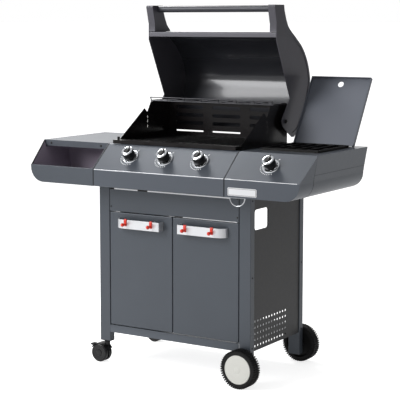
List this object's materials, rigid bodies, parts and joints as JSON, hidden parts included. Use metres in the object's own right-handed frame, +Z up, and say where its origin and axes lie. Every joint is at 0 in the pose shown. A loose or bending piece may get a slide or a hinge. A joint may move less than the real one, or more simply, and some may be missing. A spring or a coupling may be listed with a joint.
{
  "type": "gas barbecue grill",
  "caption": "Cart grill with a domed lid over a firebox, a sloping control panel, side shelves with a bin and a lidded side burner, and a two-door cabinet on wheels and casters.",
  "frame": {"origin": "on the ground, below the middle of the object's box with both lids open", "axes": "+Z up, +X to the user's right, +Y away from the user, from the control panel to the back"},
  "size_m": [1.274, 0.683, 1.458],
  "materials": {
    "powder_coat": "satin fine-textured powder coat",
    "bin_plastic": "satin powder coat, darker inside",
    "enamel": "glossy vitreous enamel",
    "cast_iron": "matt black enamel on cast iron",
    "wire": "bright plated wire",
    "steel": "brushed",
    "aluminium": "brushed satin",
    "handle_tube": "satin dark steel",
    "brass": "dull",
    "knob_plastic": "black with a bright ring",
    "caster_plastic": "moulded",
    "rubber": "moulded tread",
    "wheel_cap": "moulded",
    "red_plastic": "smooth"
  },
  "bodies": {
    "frame": {"post_front_left": "powder_coat", "post_front_right": "powder_coat", "post_rear_left": "powder_coat", "post_rear_right": "powder_coat", "side_panel_left": "powder_coat", "side_panel_right": "powder_coat", "bottom_shelf": "powder_coat", "front_apron": "powder_coat", "rear_rail": "powder_coat", "firebox": "enamel", "burner_1": "steel", "burner_2": "steel", "burner_3": "steel", "flame_tamer": "enamel", "cooking_grate_left": "cast_iron", "cooking_grate_right": "cast_iron", "warming_rack": "wire", "control_panel": "powder_coat", "gas_manifold": "steel", "left_shelf": "powder_coat", "left_bin": "bin_plastic", "right_shelf": "powder_coat", "right_front_panel": "powder_coat", "badge_plate": "aluminium", "bottle_opener": "wire", "side_burner_bowl": "enamel", "side_burner_head": "brass", "side_burner_grate": "cast_iron"},
    "lid": {"lid_shell": "powder_coat", "lid_end_left": "powder_coat", "lid_end_right": "powder_coat", "lid_handle": "handle_tube"},
    "side_burner_lid": {"side_lid": "powder_coat"},
    "left_door": {"door_left": "powder_coat", "door_handle_left": "aluminium", "tool_hook_left_1": "red_plastic", "tool_hook_left_2": "red_plastic"},
    "right_door": {"door_right": "powder_coat", "door_handle_right": "aluminium", "tool_hook_right_1": "red_plastic", "tool_hook_right_2": "red_plastic"},
    "front_wheel": {"wheel_front": "rubber", "wheel_cap_front": "wheel_cap"},
    "rear_wheel": {"wheel_rear": "rubber", "wheel_cap_rear": "wheel_cap"},
    "front_caster_fork": {"caster_hood_front": "caster_plastic"},
    "front_caster_wheel": {"caster_wheels_front": "rubber"},
    "front_caster_brake": {"caster_brake_front": "caster_plastic"},
    "rear_caster_fork": {"caster_hood_rear": "caster_plastic"},
    "rear_caster_wheel": {"caster_wheels_rear": "rubber"},
    "tray": {"grease_tray": "steel"},
    "valve_1": {"valve_stem_1": "steel"},
    "knob_body_1": {"knob_1": "knob_plastic"},
    "valve_2": {"valve_stem_2": "steel"},
    "knob_body_2": {"knob_2": "knob_plastic"},
    "valve_3": {"valve_stem_3": "steel"},
    "knob_body_3": {"knob_3": "knob_plastic"},
    "valve_4": {"valve_stem_4": "steel"},
    "knob_body_4": {"knob_4": "knob_plastic"}
  },
  "joints": [
    {"name": "lid_hinge", "type": "hinge", "parent": "frame", "child": "lid", "pos_m": [0, 0.13031, 0.994], "axis": [1, 0, 0], "range_deg": [0, 89.5]},
    {"name": "side_lid_hinge", "type": "hinge", "parent": "frame", "child": "side_burner_lid", "pos_m": [0.47, 0.14331, 0.913], "axis": [1, 0, 0], "range_deg": [0, 121]},
    {"name": "left_door_hinge", "type": "hinge", "parent": "frame", "child": "left_door", "pos_m": [-0.294, -0.22369, 0.3], "axis": [0, 0, -1], "range_deg": [0, 110]},
    {"name": "right_door_hinge", "type": "hinge", "parent": "frame", "child": "right_door", "pos_m": [0.294, -0.22369, 0.3], "axis": [0, 0, 1], "range_deg": [0, 110]},
    {"name": "front_wheel_spin", "type": "hinge", "parent": "frame", "child": "front_wheel", "pos_m": [0.33, -0.26269, 0.075], "axis": [0, 1, 0], "continuous": true},
    {"name": "rear_wheel_spin", "type": "hinge", "parent": "frame", "child": "rear_wheel", "pos_m": [0.33, 0.23131, 0.075], "axis": [0, 1, 0], "continuous": true},
    {"name": "front_caster_swivel", "type": "hinge", "parent": "frame", "child": "front_caster_fork", "pos_m": [-0.33, -0.21469, 0.092], "axis": [0, 0, 1], "continuous": true},
    {"name": "front_caster_roll", "type": "hinge", "parent": "front_caster_fork", "child": "front_caster_wheel", "pos_m": [-0.36, -0.21469, 0.0375], "axis": [0, 1, 0], "continuous": true},
    {"name": "rear_caster_swivel", "type": "hinge", "parent": "frame", "child": "rear_caster_fork", "pos_m": [-0.33, 0.18331, 0.092], "axis": [0, 0, 1], "continuous": true},
    {"name": "rear_caster_roll", "type": "hinge", "parent": "rear_caster_fork", "child": "rear_caster_wheel", "pos_m": [-0.36, 0.18331, 0.0375], "axis": [0, 1, 0], "continuous": true},
    {"name": "front_caster_brake_press", "type": "hinge", "parent": "front_caster_fork", "child": "front_caster_brake", "pos_m": [-0.39447, -0.21469, 0.06643], "axis": [0, -1, 0], "range_deg": [0, 15]},
    {"name": "grease_tray_slide", "type": "slide", "parent": "frame", "child": "tray", "axis": [0, 1, 0], "range_m": [0, 0.3]},
    {"name": "knob_1_push", "type": "slide", "parent": "frame", "child": "valve_1", "axis": [0, 0.6536, -0.7568], "range_m": [0, 0.003], "stiffness_N_per_m": 2000, "springref_m": -0.003},
    {"name": "knob_1_turn", "type": "hinge", "parent": "valve_1", "child": "knob_body_1", "pos_m": [-0.163, -0.28069, 0.86095], "axis": [0, -0.6536, 0.7568], "range_deg": [0, 180]},
    {"name": "knob_2_push", "type": "slide", "parent": "frame", "child": "valve_2", "axis": [0, 0.6536, -0.7568], "range_m": [0, 0.003], "stiffness_N_per_m": 2000, "springref_m": -0.003},
    {"name": "knob_2_turn", "type": "hinge", "parent": "valve_2", "child": "knob_body_2", "pos_m": [0, -0.28069, 0.86095], "axis": [0, -0.6536, 0.7568], "range_deg": [0, 180]},
    {"name": "knob_3_push", "type": "slide", "parent": "frame", "child": "valve_3", "axis": [0, 0.6536, -0.7568], "range_m": [0, 0.003], "stiffness_N_per_m": 2000, "springref_m": -0.003},
    {"name": "knob_3_turn", "type": "hinge", "parent": "valve_3", "child": "knob_body_3", "pos_m": [0.163, -0.28069, 0.86095], "axis": [0, -0.6536, 0.7568], "range_deg": [0, 180]},
    {"name": "knob_4_push", "type": "slide", "parent": "frame", "child": "valve_4", "axis": [0, 0.6536, -0.7568], "range_m": [0, 0.003], "stiffness_N_per_m": 2000, "springref_m": -0.003},
    {"name": "knob_4_turn", "type": "hinge", "parent": "valve_4", "child": "knob_body_4", "pos_m": [0.47, -0.28069, 0.86095], "axis": [0, -0.6536, 0.7568], "range_deg": [0, 180]}
  ]
}
